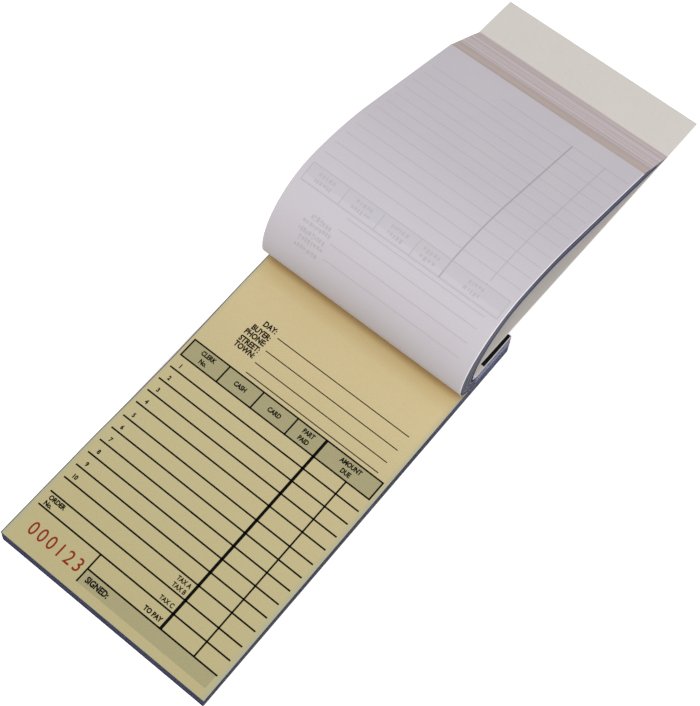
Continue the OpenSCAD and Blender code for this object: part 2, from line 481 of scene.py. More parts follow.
def piece(name, bm, materials, smooth=True):
    """Makes an object from a bmesh, with its materials."""
    bmesh.ops.recalc_face_normals(bm, faces=bm.faces)
    mesh = bpy.data.meshes.new(name)
    if smooth:
        for face in bm.faces:
            face.smooth = True
    bm.to_mesh(mesh)
    bm.free()
    for material in materials:
        mesh.materials.append(material)
    return add_object(name, mesh)


def crease(face):
    """Keeps all the edges of a face sharp."""
    for edge in face.edges:
        edge.smooth = False


def sweep(bm, rows, material=lambda k: 0, uv=None):
    """Closed skin through rings of points, creased lengthwise.

    material gives the slot of the face after ring point k, and uv(row, point, k) a corner's place on it."""
    layer = bm.loops.layers.uv.verify()
    rings = [[bm.verts.new(p) for p in row] for row in rows]
    count = len(rows[0])
    for a in range(len(rows) - 1):
        for k in range(count):
            n = (k + 1) % count
            face = bm.faces.new((rings[a][k], rings[a][n], rings[a + 1][n], rings[a + 1][k]))
            face.material_index = material(k)
            if uv:
                corners = ((a, k), (a, k + 1), (a + 1, k + 1), (a + 1, k))
                for loop, corner in zip(face.loops, corners):
                    loop[layer].uv = uv(*corner, k)
    for a in range(len(rows) - 1):
        for k in range(count):
            bm.edges.get((rings[a][k], rings[a + 1][k])).smooth = False
    return rings


def cap_ends(bm, rings, material=0):
    """Closes both ends of a sweep with creased faces."""
    faces = []
    for ring in (rings[0], rings[-1]):
        face = bm.faces.new(ring)
        face.material_index = material
        crease(face)
        faces.append(face)
    return faces


BOX_FACES = ((0, 1, 3, 2), (4, 6, 7, 5), (0, 4, 5, 1), (2, 3, 7, 6), (0, 2, 6, 4), (1, 5, 7, 3))


def box(bm, low, high):
    """Closed box between two corners, creased all round."""
    xs, ys, zs = zip(low, high)
    v = [bm.verts.new((x, y, z)) for x in xs for y in ys for z in zs]
    for ring in BOX_FACES:
        crease(bm.faces.new([v[i] for i in ring]))


# The lower stack

# Sides of a flat leaf's ring, and the material slots of a stack
RIGHT_SIDE, TOP_SIDE, LEFT_SIDE = 1, 2, 3
STACK_SIDE, BARE_FORM, SHADE_LINE_TOP, STACK_FOOT = range(4)


def askew_left(y):
    """Inset of the left side of the leaves that lie askew; the stub holds them in line again."""
    for (y0, a), (y1, b) in zip(ASKEW_LEFT, ASKEW_LEFT[1:]):
        if y <= y1:
            return a + (b - a) * (y - y0) / (y1 - y0)
    return ASKEW_LEFT[-1][1]


def leaf_ring(left, right, y, z0, z1):
    """Cross-section at y of a flat leaf that lies between two heights before the fold."""
    low, high = squeezed(z0, y), squeezed(z1, y)
    return [place(left, y, low), place(right, y, low), place(right, y, high), place(left, y, high)]


def leaf_top(j, count, askew):
    """Slot of leaf j's upper face: the uppermost askew leaf has painted shade, the leaf under the askew ones
    its paper, the others only an edge at the foot.
    """
    if askew and j == count - 1:
        return SHADE_LINE_TOP
    return BARE_FORM if j == count - askew - 1 else STACK_FOOT


def stacked_leaves(name, node, low, high, count, start, edges, askew=0):
    """Flat leaves between two heights, each a thin sheet of its own, squeezed past the fold.

    The uppermost askew leaves lie askew, and the leaf below them shows its face."""
    bm = bmesh.new()
    layer = bm.loops.layers.uv.verify()
    thick = (high - low) / count
    across = (0.0, LEAF_W * MM, LEAF_W * MM + thick * MM, 2 * LEAF_W * MM)
    for j in range(count):
        right = HALF_W - rng.uniform(0.0, EDGE_JITTER)
        left = -HALF_W + rng.uniform(0.0, EDGE_JITTER)
        first = start + rng.uniform(0.0, EDGE_JITTER) / 2
        z0, z1 = low + j * thick, low + (j + 1) * thick
        later = STUB_STOPS
        if start < FORM_L:
            first -= FOOT_FAN * (PAGE_Z - z1) / UNUSED_T
            later = FORM_STOPS
        inset = askew_left if j >= count - askew else lambda y: 0.0
        rows = [leaf_ring(left + inset(y), right, y, z0, z1) for y in (first, *later)]

        def uv(a, k, side):
            if side in (RIGHT_SIDE, LEFT_SIDE):
                return rows[a][0].y, (z0 if k % 4 < 2 else z1) * MM
            return across[k % 4], rows[a][0].y
        top = leaf_top(j, count, askew)
        rings = sweep(bm, rows, lambda k: top if k == TOP_SIDE else STACK_SIDE, uv)
        for face in cap_ends(bm, rings, STACK_FOOT):
            for loop in face.loops:
                loop[layer].uv = (loop.vert.co.x, loop.vert.co.z)
    stack = piece(name, bm, [edges, FORM_PAPER, SHADE_LINE_PAPER, FOOT_EDGES])
    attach(stack, "book")
    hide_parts(node)


def lower_stack():
    """The unused forms, and the stubs of the turned ones."""
    pack_t = (UNUSED_T - DUPLICATE_T) / UNUSED_PACKS
    for k in range(UNUSED_PACKS):
        stacked_leaves("unused_leaves_%d" % (k + 1), "unused_forms_%d" % (k + 1), BACK_T + k * pack_t,
                       BACK_T + (k + 1) * pack_t, UNUSED_LEAVES, 0.0, STACK_EDGES,
                       ASKEW_LEAVES if k == UNUSED_PACKS - 1 else 0)
    for k in range(PACKS):
        stacked_leaves("stub_leaves_%d" % (k + 1), "turned_stub_%d" % (k + 1), PAGE_Z + k * PITCH,
                       PAGE_Z + (k + 1) * PITCH, PACK_LEAVES, FORM_L, STUB_EDGES)


def yellow_copy():
    """The uppermost form: a single canary leaf, a little askew on the stack."""
    bm = bmesh.new()
    rows = []
    for y in (COPY_SHORT, *FORM_STOPS):
        left, right = -HALF_W, HALF_W
        if y < TOTAL_L:
            left += askew_left(y) + BARE_LEFT
            right += PAST_RIGHT[0] + (PAST_RIGHT[1] - PAST_RIGHT[0]) * y / FORM_L
        rows.append(leaf_ring(left, right, y, PAGE_Z - DUPLICATE_T, PAGE_Z))
    cap_ends(bm, sweep(bm, rows))
    leaf = piece("duplicate_form", bm, [CANARY])
    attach(leaf, "book")
    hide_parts("duplicate_leaf")


# The line of a turned pack

# Half a panel: distances from the fold, its panel, the panels it bends between, its ends' shares of the bend
Stretch = namedtuple("Stretch", "start end panel pair shares")


def inward(heading):
    """Unit vector in y and z from the outside of the loop to its inside."""
    y, z = onward(heading)
    return z, -y


class Loop:
    """Outside line of one pack: three tangent arcs and a straight tail, followed from the fold."""

    # Turn from one cross-section to the next, and the least and the most distance
    STEP = 3.0
    SHORTEST, LONGEST = 0.4, 2.5
    # Short steps at the ends, the least distance before the last one, and a distance that counts as none
    NEAR, SPARE, NONE = 0.2, 0.3, 1e-9

    def __init__(self, p):
        self.p = p
        share = (PACKS - 1 - p) / (PACKS - 1)
        self.radii = [i + (o - i) * share for i, o in zip(INNER_R, OUTER_R)]
        self.arc_lengths = [r * radians(t) for r, t in zip(self.radii, BEND_TURNS)]
        bends = zip(self.radii, BEND_TURNS, BEND_PANELS)
        chords = [n * 2 * r * sin(radians(t / n / 2)) for r, t, n in bends]
        self.length = sum(self.arc_lengths) + (FORM_L - sum(chords))

    def at(self, s):
        """(y, z, heading) at the distance s along the outside from the fold."""
        y, z, heading = FORM_L, PAGE_Z + self.p * PITCH + PACK_GAP, FOLD_HEADING
        for r, turn, length in zip(self.radii, BEND_TURNS, self.arc_lengths):
            part = min(s, length)
            new = heading - turn * part / length
            a, b = inward(heading), inward(new)
            y, z, heading = y + r * (a[0] - b[0]), z + r * (a[1] - b[1]), new
            s -= part
            if s <= self.NONE:
                return y, z, heading
        a = onward(heading)
        return y + s * a[0], z + s * a[1], heading

    def where(self, heading):
        """Distance along the outside at which the line has this heading."""
        s, h = 0.0, FOLD_HEADING
        for turn, length in zip(BEND_TURNS, self.arc_lengths):
            if heading >= h - turn:
                return s + length * (h - heading) / turn
            s, h = s + length, h - turn
        return s

    def stretches(self):
        """Half panels in order, with the shares of the bend at their ends."""
        hinges = [self.where(h) for h in HINGE_HEADINGS]
        mids = [self.where(h) for h in PANEL_MIDS]
        bends = [(a + b) / 2 for a, b in zip(PANEL_TURNS, PANEL_TURNS[1:])]
        out = [Stretch(0.0, hinges[0], 0, (0, 1), (0.0, PANEL_TURNS[0] / 2 / bends[0]))]
        for i in range(1, len(PANEL_MIDS)):
            before, after = PANEL_TURNS[i] / bends[i - 1], PANEL_TURNS[i] / bends[i]
            out.append(Stretch(hinges[i - 1], mids[i], i, (i - 1, i), (1 - before / 2, 1 - before / 4)))
            out.append(Stretch(mids[i], hinges[i], i, (i, i + 1), (after / 4, after / 2)))
        return out + [Stretch(hinges[-1], self.length, len(PANEL_MIDS), None, None)]

    def step_at(self, s):
        """Distance to the next cross-section, shorter where the line bends more."""
        heading = self.at(s)[2]
        r = self.radii[sum(heading <= end for end in BEND_ENDS)]
        return max(self.SHORTEST, min(self.LONGEST, r * radians(self.STEP)))

    def stations(self, start, end):
        """Distances from start to end, close together at the ends so that neighbours shade alike."""
        out = [start]
        s = start + self.NEAR
        while True:
            out.append(s)
            s += self.step_at(s)
            if s > end - self.NEAR - self.SPARE:
                return out + [end - self.NEAR, end]

    def point(self, s, x, depth=0.0):
        """Point at s and x, this deep inside the line."""
        y, z, heading = self.at(s)
        n = inward(heading)
        return place(x, y + depth * n[0], z + depth * n[1])


LOOPS = [Loop(p) for p in range(PACKS)]
# Air that is left between neighbouring packs
PACK_AIR = 0.02


def pack_depth(p, s):
    """Thickness of pack p at s: its leaves, and no more than the room up to the next pack."""
    if p == PACKS - 1:
        return PACK_T
    y, z, heading = LOOPS[p].at(s)
    y1, z1, _ = LOOPS[p + 1].at(LOOPS[p + 1].where(heading))
    n = inward(heading)
    return min((y1 - y) * n[0] + (z1 - z) * n[1], PITCH) - PACK_AIR


# Print that shows through the outermost turned leaf, and a painted highlight along its right side

# Material slots of a turned sheet: the outermost pack has the bars from the third one on
SHEET_FACE, SHEET_SIDE, SHADED_FACE = range(3)
PLAIN_BAR, FAINT_BAR, HEAVY_BAR, HIGHLIGHT_BAR = range(2, 6)
# How far bars stand out of the leaf and reach into it, the steps along them, and the least length of one
BAR_LIFT = {PLAIN_BAR: 0.012, FAINT_BAR: 0.006, HEAVY_BAR: 0.014, HIGHLIGHT_BAR: 0.016}
BAR_SINK = 0.01
BAR_STEP = 1.2
BAR_LEAST = 1e-6
# Half widths of the bars, and the painted highlight, a bright strip along the right side of the leaf
ROW_BAR, FILL_BAR, RULE_BAR, THICK_BAR = 0.16, 0.18, 0.2, 0.28
HIGHLIGHT_W = 0.28
HIGHLIGHT_PROUD = 0.07
# Feet of the lines of small words, at the left of the form and in the cells of the header
LABEL_FEET = (110.8, 107.4, 104.7, 101.6, 99.0)
LABEL_END = 21.5
CELL_FEET = (86.2, 88.9)
CELL_HALF = 3.0


def label_bars(smudge):
    """Bars for the small words beside the lines to fill in."""
    bars = []
    for y in LABEL_FEET:
        x = smudge.uniform(10.5, 13.0)
        while x < LABEL_END:
            w = smudge.uniform(0.5, 1.1)
            bars.append((x, x + w, y + smudge.uniform(-0.2, 0.4), y + smudge.uniform(1.2, 2.0), PLAIN_BAR))
            x += w + smudge.uniform(0.2, 0.6)
    return bars


def cell_bars(smudge):
    """Bars for the small words in the header."""
    bars = []
    for a, b in CELLS:
        middle = (a + b) / 2
        for y in CELL_FEET:
            x = middle - smudge.uniform(2.5, 4.0)
            while x < middle + CELL_HALF:
                w = smudge.uniform(0.5, 1.2)
                bars.append((x, x + w, y, y + smudge.uniform(0.9, 1.6), PLAIN_BAR))
                x += w + smudge.uniform(0.3, 0.7)
    return bars


def show_through():
    """Bars of the form that show through: x and y ranges, and the material slot."""
    low, high = HEADER
    bars = [(*ROW_X, *band(y, ROW_BAR), PLAIN_BAR) for y in ROWS]
    bars.append((SHORT_X, ROW_X[1], *band(LAST_ROW, RULE_BAR), PLAIN_BAR))
    bars += [(*FILL_X, *band(y, FILL_BAR), PLAIN_BAR) for y in FILL_INS]
    bars += [(*ROW_X, *band(y, RULE_BAR), PLAIN_BAR) for y in HEADER]
    bars += [(*band(x, RULE_BAR), low, high, PLAIN_BAR) for x in HEADER_X]
    bars += [(a + RULE_BAR, b - RULE_BAR, low + RULE_BAR, high - RULE_BAR, FAINT_BAR) for a, b in CELLS]
    bars.append((*band(HEAVY_X, THICK_BAR), LAST_ROW, high, HEAVY_BAR))
    bars.append((*band(THIN_X, RULE_BAR), LAST_ROW, low, PLAIN_BAR))
    smudge = random.Random(11)
    return bars + label_bars(smudge) + cell_bars(smudge)


def loop_bar(bm, loop, x0, x1, s0, s1, start, end, slot):
    """A bar on the outside of the loop from s0 to s1, where it falls between start and end."""
    low, high = max(s0, start), min(s1, end)
    if high - low < BAR_LEAST:
        return
    lift = BAR_LIFT[slot]
    count = max(1, int((high - low) / BAR_STEP))
    rows = []
    for i in range(count + 1):
        s = low + (high - low) * i / count
        corners = ((x0, BAR_SINK), (x0, -lift), (x1, -lift), (x1, BAR_SINK))
        rows.append([loop.point(s, x, depth) for x, depth in corners])
    cap_ends(bm, sweep(bm, rows, lambda k: slot), slot)


SHOW_THROUGH = show_through()


def loop_bars(bm, loop, start, end):
    """The print that shows through the outermost leaf, and the painted highlight along its right side,
    between start and end.
    """
    for x0, x1, y0, y1, slot in SHOW_THROUGH:
        loop_bar(bm, loop, x0 - HALF_W, x1 - HALF_W, FORM_L - y1, FORM_L - y0, start, end, slot)
    # Bright strip along the right side of the leaf: a painted highlight where the light catches its cut edge
    loop_bar(bm, loop, HALF_W - HIGHLIGHT_W, HALF_W + HIGHLIGHT_PROUD, 0.0, loop.length, start, end, HIGHLIGHT_BAR)


# The turned packs

def leaf_section(lefts, rights):
    """Cross-section of a pack: points (x, share of the depth), and the kind of face after each."""
    count = len(lefts)
    edge_kinds = ["first_edge"] + ["edge"] * (count - 1)
    points, kinds = [(lefts[0], 0.0)], ["outer"]
    for j in range(count):
        points += [(rights[j], j / count), (rights[j], (j + 1) / count)]
        kinds += [edge_kinds[j], "step"]
    kinds[-1] = "inner"
    for j in reversed(range(count)):
        points.append((lefts[j], (j + 1) / count))
        kinds.append(edge_kinds[j])
        if j:
            points.append((lefts[j], j / count))
            kinds.append("step")
    return points, kinds


def turned_sheet(name, p, section, kinds, start, end):
    """The leaves of pack p between two distances along its loop."""
    loop = LOOPS[p]
    outermost = p == 0
    bm = bmesh.new()
    along = loop.stations(start, end)
    depths = [pack_depth(p, s) for s in along]
    rows = [[loop.point(s, x, share * depth) for x, share in section] for s, depth in zip(along, depths)]

    def slot(k):
        if kinds[k] == "outer":
            return SHEET_FACE if outermost else SHADED_FACE
        plain = kinds[k] == "inner" or outermost and kinds[k] == "first_edge"
        return SHEET_FACE if plain else SHEET_SIDE

    def uv(a, k, side):
        x, share = section[k % len(section)]
        if kinds[side] in ("outer", "inner"):
            return x * MM, along[a] * MM
        return along[a] * MM, (share + p) * PITCH * MM

    cap_ends(bm, sweep(bm, rows, slot, uv), SHEET_SIDE)
    if not outermost:
        return piece(name, bm, [FORM_PAPER, SIDE_EDGES, SHADED_PAPER])
    loop_bars(bm, loop, start, end)
    return piece(name, bm, [LEAF_BACK, SIDE_EDGES, GHOST, FAINT_GHOST, HEAVY_GHOST, LEAF_EDGE_HIGHLIGHT])


def unsmooth(w):
    """Where the smooth step of a blend reaches the share w."""
    return 0.5 - sin(asin(1 - 2 * w) / 3)


def bend(sheet, loop, stretch):
    """Bakes a sheet's placement into its mesh; the ends, shares and panels of its bend are worked out but
    not used.
    """
    a, b = loop.point(stretch.start, 0), loop.point(stretch.end, 0)
    t0, t1 = [unsmooth(share) for share in stretch.shares]
    first, second = stretch.pair
    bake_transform(sheet)


def turned_pack(p):
    """One pack of turned leaves: bent sheets between its panels, and the staggered free ends."""
    rights = [HALF_W - rng.uniform(LEAST_JITTER, EDGE_JITTER) for _ in range(PACK_LEAVES)]
    lefts = [-HALF_W + rng.uniform(LEAST_JITTER, EDGE_JITTER) for _ in range(PACK_LEAVES)]
    if p == 0:
        rights[0], lefts[0] = HALF_W + TOP_PROUD, -HALF_W - TOP_PROUD
    section, kinds = leaf_section(lefts, rights)
    panels = ["pack_%d_panel_%d" % (p + 1, i + 1) for i in range(len(PANEL_TURNS))]
    replaced = set()
    for i, stretch in enumerate(LOOPS[p].stretches()):
        name = "pack_%d_sheet_%d" % (p + 1, i + 1)
        sheet = turned_sheet(name, p, section, kinds, stretch.start, stretch.end)
        if stretch.pair is None:
            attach(sheet, panels[stretch.panel])
        else:
            bend(sheet, LOOPS[p], stretch)
        if stretch.panel not in replaced:
            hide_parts(panels[stretch.panel])
            replaced.add(stretch.panel)
    free_ends(p, lefts, rights, panels[-1])


# Faces of a leaf's end as a box of two four-cornered sides, and the material slots of the ends
END_FACES = ((0, 1, 5, 4), (1, 2, 6, 5), (2, 3, 7, 6), (3, 0, 4, 7))
END_SIDES = ((0, 3, 2, 1), (4, 5, 6, 7))
FIRST_END, END_EDGE, PINK_END, TAN_END, WHITE_END = range(5)


def end_tone(number):
    """Material slot of a leaf's end, by its number from the outermost."""
    if number == 0:
        return FIRST_END
    if number in WHITE_LEAVES:
        return WHITE_END
    return TAN_END if number <= TAN_LEAVES else PINK_END


def end_span(p, base, out):
    """How far the free ends of pack p spread, from its outermost leaf to its innermost."""
    if p == PACKS - 1:
        return PACK_T * LET_OUT
    after = LOOPS[p + 1]
    return (after.point(after.length, 0) - base).dot(out) / MM


def free_ends(p, lefts, rights, panel):
    """Free ends of a pack: leaves nearer the inside go round a shorter way, so they reach further out."""
    loop = LOOPS[p]
    y, z, heading = loop.at(loop.length)
    out = Vector((0, *onward(heading)))
    down = Vector((0, *inward(heading)))
    base = place(0, y, z)
    thick = pack_depth(p, loop.length) / PACK_LEAVES
    span = end_span(p, base, out)
    bm = bmesh.new()
    layer = bm.loops.layers.uv.verify()
    for j in range(PACK_LEAVES):
        number = p * PACK_LEAVES + j
        reach = (j + 0.5) / PACK_LEAVES * span + rng.uniform(-END_JITTER, END_JITTER)
        skew = rng.uniform(-END_SKEW, END_SKEW)
        v = []
        for x, far in ((lefts[j], reach - skew), (rights[j], reach + skew)):
            aside = base + Vector((x * MM, 0, 0))
            for along, depth in ((0.0, j), (far, j), (far, j + 1), (0.0, j + 1)):
                v.append(bm.verts.new(aside + (out * along + down * depth * thick) * MM))
        for ring in END_FACES + END_SIDES:
            side = ring in END_SIDES
            face = bm.faces.new([v[i] for i in ring])
            face.material_index = END_EDGE if side and number else end_tone(number)
            for corner in face.loops:
                deep = (corner.vert.co - base).dot(down) / MM if side else (j + 0.5) * thick
                corner[layer].uv = (corner.vert.co.x, (deep + p * PITCH) * MM)
            crease(face)
    ends = piece("pack_%d_leaf_ends" % (p + 1), bm, [LEAF_BACK, SIDE_EDGES, PINK_ENDS, TAN_ENDS, WHITE_ENDS])
    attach(ends, panel)
    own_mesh(ends)


# Covers, tape and staples

# Softened edges of the cover and its cross-sections, and the steps and lap of its fold
COVER_SOFT = 0.08
COVER_STOPS = (20.0, 70.0)
FOLD_STEPS = 14
FOLD_LAP = 1.2


def cover_board():
    """Front cover: a scored board with softened edges, folded back."""
    a = radians(COVER_SLOPE)
    out, up = Vector((0, cos(a), -sin(a))), Vector((0, sin(a), cos(a)))
    axis = place(0, FORM_L, AXIS_Z)
    side, thick = HALF_W - COVER_SOFT, COVER_T - COVER_SOFT
    profile = [(-HALF_W, COVER_SOFT), (-side, 0), (side, 0), (HALF_W, COVER_SOFT),
               (HALF_W, thick), (side, COVER_T), (-side, COVER_T), (-HALF_W, thick)]
    insets = [(along, 0.0) for along in (SCORE_W, *COVER_STOPS, COVER_L - COVER_SOFT)]
    rows = []
    for along, inset in insets + [(COVER_L, COVER_SOFT)]:
        row = []
        for x, d in profile:
            x -= copysign(inset, x)
            x -= COVER_SKEW * (1 - along / COVER_L)
            d = min(max(d, inset), COVER_T - inset)
            row.append(axis + Vector((x * MM, 0, 0)) + out * along * MM + up * (FOLD_R + d) * MM)
        rows.append(row)
    bm = bmesh.new()
    cap_ends(bm, sweep(bm, rows))
    board = piece("front_cover_board", bm, [BOARD], smooth=False)
    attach(board, "front_cover")
    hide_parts("front_cover")


def cover_fold():
    """The score of the front cover: the board bends through a half turn over the stub."""
    stub_mid = STUB_TOP + COVER_T / 2
    flap_mid = AXIS_Z + FOLD_R + COVER_T / 2
    centre_z, mid_r = (stub_mid + flap_mid) / 2, (flap_mid - stub_mid) / 2
    inner, outer = mid_r - COVER_T / 2, mid_r + COVER_T / 2
    rows = []
    for i in range(FOLD_STEPS + 1):
        y, z = onward(270 - (180 + COVER_SLOPE) * i / FOLD_STEPS)
        shift = -COVER_SKEW * i / FOLD_STEPS
        rows.append([place(x + shift, FORM_L + r * y, centre_z + r * z)
                     for x, r in ((-HALF_W, inner), (HALF_W, inner), (HALF_W, outer), (-HALF_W, outer))])
    lap = Vector((0, *onward(-COVER_SLOPE))) * SCORE_W * FOLD_LAP * MM
    rows.append([p + lap for p in rows[-1]])
    bm = bmesh.new()
    cap_ends(bm, sweep(bm, rows))
    fold = piece("front_cover_fold", bm, [BOARD])
    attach(fold, "book")
    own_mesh(fold)


# The tape's turns, the steps along its upper and lower flap, and the points across it
TAPE_TURN_R = 0.7
TAPE_TURN_STEPS = 8
TAPE_STEP = 0.4
TAPE_LOWER_STEP = 1.6
TAPE_COLUMNS = 87
# How high a staple crown lifts the cloth, how fast that fades, and the least upward facing in degrees
CROWN_LIFT = 0.16
CROWN_FADE_X, CROWN_FADE_Y = 0.5, 0.7
UPPER_FACING = 45


def tape_line():
    """Middle of the tape's thickness round the bound end: (y, z, direction that it faces, in degrees)."""
    def top(y):
        return squeezed(STUB_TOP, y) + COVER_T
    half = TAPE_T / 2
    fall = degrees(atan2(top(TAPE_Y) - top(TOTAL_L), TOTAL_L - TAPE_Y))
    turn_y = TOTAL_L + half - TAPE_TURN_R
    line = []
    y = TAPE_Y
    while y < turn_y:
        line.append((y, top(y) + half, 90 - fall))
        y += TAPE_STEP
    turns = ((top(TOTAL_L) + half - TAPE_TURN_R, 90 - fall, 0), (half + TAPE_TURN_R, 0, -90))
    for centre_z, start, stop in turns:
        for i in range(TAPE_TURN_STEPS + 1):
            a = radians(start + (stop - start) * i / TAPE_TURN_STEPS)
            y, z = turn_y + TAPE_TURN_R * cos(a), centre_z + TAPE_TURN_R * sin(a)
            line.append((y, z, degrees(a)))
    y = turn_y - TAPE_STEP
    while y > TAPE_Y:
        line.append((y, half, -90))
        y -= TAPE_LOWER_STEP
    return line + [(TAPE_Y, half, -90)]


def crown_lift(x, y, facing):
    """Height that a staple crown lifts the cloth."""
    if facing < UPPER_FACING:
        return 0.0
    dx = max(0.0, abs(abs(x) - STAPLE_X) - STAPLE_W / 2)
    return CROWN_LIFT * exp(-(dx / CROWN_FADE_X) ** 2 - ((y - STAPLE_Y) / CROWN_FADE_Y) ** 2)


def tape_face(bm, line, side):
    """Outer (1) or inner (-1) face of the tape, as rows of points."""
    grid = []
    for y, z, facing in line:
        out_y, out_z = onward(facing)
        row = []
        for c in range(TAPE_COLUMNS):
            x = (HALF_W - TAPE_SHORT) * (2 * c / (TAPE_COLUMNS - 1) - 1)
            lift = side * TAPE_T / 2 + crown_lift(x, y, facing)
            row.append(bm.verts.new(place(x, y + lift * out_y, z + lift * out_z)))
        grid.append(row)
    for row, after in zip(grid, grid[1:]):
        for c in range(TAPE_COLUMNS - 1):
            bm.faces.new((row[c], row[c + 1], after[c + 1], after[c]))
    return grid


def bound_tape():
    """Cloth tape round the bound end, with rounded turns and the staples showing through it."""
    bm = bmesh.new()
    line = tape_line()
    upper, lower = tape_face(bm, line, 1), tape_face(bm, line, -1)
    borders = [(upper[0], lower[0]), (upper[-1], lower[-1])]
    borders += [([row[c] for row in upper], [row[c] for row in lower]) for c in (0, TAPE_COLUMNS - 1)]
    for above, below in borders:
        for i in range(len(above) - 1):
            crease(bm.faces.new((above[i], above[i + 1], below[i + 1], below[i])))
    tape = piece("bound_tape", bm, [TAPE])
    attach(tape, "book")
    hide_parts("binding_tape")


def finish_nodes(material, *names):
    """Gives CAD nodes that stay in view their finish."""
    for name in names:
        mesh = frame["nodes"][name].data
        mesh.materials.clear()
        mesh.materials.append(material)


# The printed form

INK_LIFT = 0.02
INK_SINK = 0.01
TINT_LIFT = 0.008
# Height of a capital as a share of its size, and the steps of a curve
CAP_SHARE = 0.69
CURVE_STEPS = 3
# Lettering: height, alignment, width and added weight as a share of its size, and spacing
Lettering = namedtuple("Lettering", "height align width bold spacing", defaults=(1.0,))
LABEL = Lettering(2.1, "RIGHT", 0.82, 0.04)
CELL = Lettering(1.7, "CENTER", 0.8, 0.046)
NUMBER = Lettering(1.55, "CENTER", 0.9, 0.045)
ORDER = Lettering(1.65, "LEFT", 0.84, 0.05)
TAX = Lettering(1.6, "RIGHT", 0.82, 0.036)
TOTAL = Lettering(1.65, "RIGHT", 0.86, 0.05)
SIGNED = Lettering(2.1, "LEFT", 0.82, 0.045)
SERIAL = Lettering(4.8, "LEFT", 0.86, 0.004, 1.3)
# Words with the feet of their letters, and where they start, have their middle or end
LABEL_X, NUMBER_X, ORDER_X, SUMS_X = 21.9, 5.2, 3.6, 59.1
LABELS = (("DAY:", 110.8), ("BUYER:", 107.4), ("PHONE:", 104.7), ("STREET:", 101.6), ("TOWN:", 98.9))
CELL_WORDS = (("CLERK", "No."), ("CASH",), ("CARD",), ("PART", "PAID"), ("AMOUNT", "DUE"))
CELL_LINES = {1: (87.45,), 2: (88.95, 86.0)}
NUMBER_RISE = 1.4
LOWER_WORDS = (("ORDER", ORDER_X, 18.1, ORDER), ("No.", ORDER_X, 15.7, ORDER),
               ("TAX A", SUMS_X, 24.2, TAX), ("TAX B", SUMS_X, 21.6, TAX), ("TAX C", SUMS_X, 15.9, TAX),
               ("TO PAY", SUMS_X, 10.1, TOTAL), ("SIGNED:", 31.7, 5.0, SIGNED))
SERIAL_NUMBER = ("000123", 5.7, 5.4, SERIAL)


def bar(bm, x0, x1, y0, y1, lift=INK_LIFT):
    """A printed bar on the yellow copy."""
    box(bm, place(x0 - HALF_W, y0, PAGE_Z - INK_SINK), place(x1 - HALF_W, y1, PAGE_Z + lift))


def words(bm, text, x, y, lettering):
    """Plain lettering with its foot at y, and x at its left, middle or right."""
    size = lettering.height / CAP_SHARE
    curve = bpy.data.curves.new("lettering", "FONT")
    curve.body = text
    curve.size = size * MM
    curve.align_x = lettering.align
    curve.resolution_u = CURVE_STEPS
    curve.space_character = lettering.spacing
    curve.offset = lettering.bold * size * MM
    curve.extrude = INK_LIFT * MM / 2
    obj = add_object("lettering", curve)
    mesh = bpy.data.meshes.new_from_object(obj.evaluated_get(bpy.context.evaluated_depsgraph_get()))
    narrow = Matrix.Diagonal((lettering.width, 1, 1, 1))
    mesh.transform(Matrix.Translation(place(x - HALF_W, y, PAGE_Z + INK_LIFT / 2)) @ narrow)
    bm.from_mesh(mesh)
    bpy.data.objects.remove(obj)
    bpy.data.curves.remove(curve)
    bpy.data.meshes.remove(mesh)


def printed(name, bm, material):
    """A layer of print on the yellow copy."""
    obj = piece(name, bm, [material], smooth=False)
    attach(obj, "book")


def ruled_lines(bm):
    """Rows, header and columns of the form."""
    half = RULE_W / 2
    for y in ROWS:
        bar(bm, *ROW_X, *band(y, half))
    bar(bm, SHORT_X, ROW_X[1], *band(LAST_ROW, half))
    for y in HEADER:
        bar(bm, HEADER_X[0] - half, HEADER_X[-1] + half, *band(y, half))
    for x in (*HEADER_X[:4], HEADER_X[-1]):
        bar(bm, *band(x, half), *HEADER)
    bar(bm, *band(HEAVY_X, HEAVY_W / 2), LAST_ROW, HEADER[1])
    bar(bm, *band(THIN_X, half), LAST_ROW, HEADER[0])
    bar(bm, *band(SHORT_X, half), SIGN_BAND[2], ROWS[-1])


def form_words(bm):
    """Plain words and row numbers of the form."""
    for text, y in LABELS:
        words(bm, text, LABEL_X, y, LABEL)
    for (a, b), lines in zip(CELLS, CELL_WORDS):
        for text, y in zip(lines, CELL_LINES[len(lines)]):
            words(bm, text, (a + b) / 2, y, CELL)
    for i in range(NUMBERED_ROWS):
        words(bm, str(i + 1), NUMBER_X, ROWS[i] + NUMBER_RISE, NUMBER)
    for row in LOWER_WORDS:
        words(bm, *row)


def form():
    """All the print on the yellow copy."""
    rules, fine, tints, serial = bmesh.new(), bmesh.new(), bmesh.new(), bmesh.new()
    ruled_lines(rules)
    form_words(rules)
    for y in FILL_INS:
        bar(fine, *FILL_X, *band(y, FINE_W / 2))
    bar(tints, *ROW_X, *HEADER, TINT_LIFT)
    bar(tints, *SIGN_BAND, TINT_LIFT)
    words(serial, *SERIAL_NUMBER)
    printed("form_rules", rules, INK)
    printed("form_fill_in_lines", fine, FINE_INK)
    printed("form_tints", tints, TINT)
    printed("form_serial_number", serial, RED_INK)


# Floor, light and camera, in metres

WHITE = grey(1.0)
FLOOR_TONE = grey(0.9)
FLOOR_HALF = 4.0
FLOOR_Z = -0.0002
FLOOR_GLOW = 0.55
AMBIENT = 0.56
CAMERA_AT = Vector((0.1374, -0.1552, 0.50362))
CAMERA_AIM = Vector((0.00225, 0.04314, 0.0035))
CAMERA_ROLL = 5.1
CAMERA_LENS = 82.254
SENSOR_W = 36.0


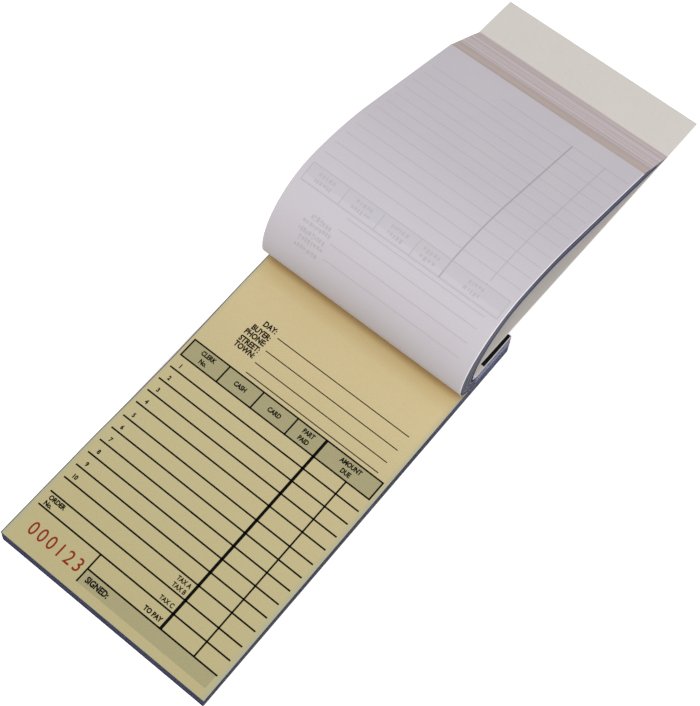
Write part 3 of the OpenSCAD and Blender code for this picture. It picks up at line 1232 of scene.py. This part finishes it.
def picked(tree, seen, unseen, shown):
    """Mix of two shaders: shown where the socket seen is 1, and unseen where it is 0."""
    pick = add_node(tree, "MixShader")
    tree.links.new(seen, pick.inputs[0])
    tree.links.new(unseen.outputs[0], pick.inputs[1])
    tree.links.new(shown.outputs[0], pick.inputs[2])
    return pick.outputs[0]


def floor_white():
    """Pale floor finish that keeps shadows and glows a little where it is seen or mirrored."""
    m = Recipe("floor_white", roughness=0.9, specular=0.1)
    m.shader.inputs["Base Color"].default_value = FLOOR_TONE
    rays = m.node("LightPath").outputs
    seen = m.math("MAXIMUM", rays["Is Camera Ray"], rays["Is Glossy Ray"])
    off, glow = m.node("Emission", Strength=0.0), m.node("Emission", Strength=FLOOR_GLOW)
    both = m.node("AddShader")
    m.link(m.shader.outputs[0], both.inputs[0])
    m.link(picked(m.tree, seen, off, glow), both.inputs[1])
    m.link(both.outputs[0], m.tree.nodes["Material Output"].inputs["Surface"])
    return m.material


def floor():
    """Wide floor just under the book."""
    mesh = bpy.data.meshes.new("floor")
    corners = ((-1, -1), (1, -1), (1, 1), (-1, 1))
    mesh.from_pydata([(x * FLOOR_HALF, y * FLOOR_HALF, 0) for x, y in corners], [], [(0, 1, 2, 3)])
    mesh.materials.append(floor_white())
    obj = add_object("floor", mesh)
    obj.location.z = FLOOR_Z


def world():
    """Even white surroundings; the camera sees plain white."""
    w = bpy.data.worlds.new("studio")
    bpy.context.scene.world = w
    w.use_nodes = True
    tree = w.node_tree
    ambient = tree.nodes["Background"]
    ambient.inputs["Color"].default_value = WHITE
    ambient.inputs["Strength"].default_value = AMBIENT
    plain = add_node(tree, "Background", Color=WHITE, Strength=1.0)
    rays = add_node(tree, "LightPath").outputs
    shown = picked(tree, rays["Is Camera Ray"], ambient, plain)
    tree.links.new(shown, tree.nodes["World Output"].inputs["Surface"])


def lamp(name, location, target, size, power, colour):
    """Round area lamp that points at a target."""
    light = bpy.data.lights.new(name, "AREA")
    light.shape, light.size = "DISK", size
    light.energy, light.color = power, colour
    obj = add_object(name, light)
    obj.location = location
    obj.rotation_mode = "QUATERNION"
    obj.rotation_quaternion = (Vector(target) - Vector(location)).to_track_quat("-Z", "Y")


def camera():
    """The photograph's view, over the foot of the book from its right."""
    data = bpy.data.cameras.new("camera")
    data.sensor_width = SENSOR_W
    data.lens = CAMERA_LENS
    data.clip_start, data.clip_end = 0.01, 20.0
    obj = add_object("camera", data)
    look = (CAMERA_AIM - CAMERA_AT).normalized().to_track_quat("-Z", "Y")
    turn = look.to_matrix().to_4x4() @ Matrix.Rotation(radians(CAMERA_ROLL), 4, "Z")
    obj.matrix_world = Matrix.Translation(CAMERA_AT) @ turn
    bpy.context.scene.camera = obj


lower_stack()
yellow_copy()
for number in range(PACKS):
    turned_pack(number)
cover_board()
cover_fold()
bound_tape()
finish_nodes(BOARD, "back_cover", "front_cover_stub")
finish_nodes(STEEL, "staple_left", "staple_right")
form()
floor()
world()
lamp("key", (0.1, -0.26, 0.84), target=(0, 0.05, 0), size=0.7, power=4.5, colour=(1.0, 0.985, 0.97))
lamp("side", (0.55, 0.1, 0.1), target=(0, 0.08, 0.01), size=0.3, power=0.7, colour=(1.0, 0.99, 0.98))
camera()
bpy.context.scene.view_settings.view_transform = "Standard"
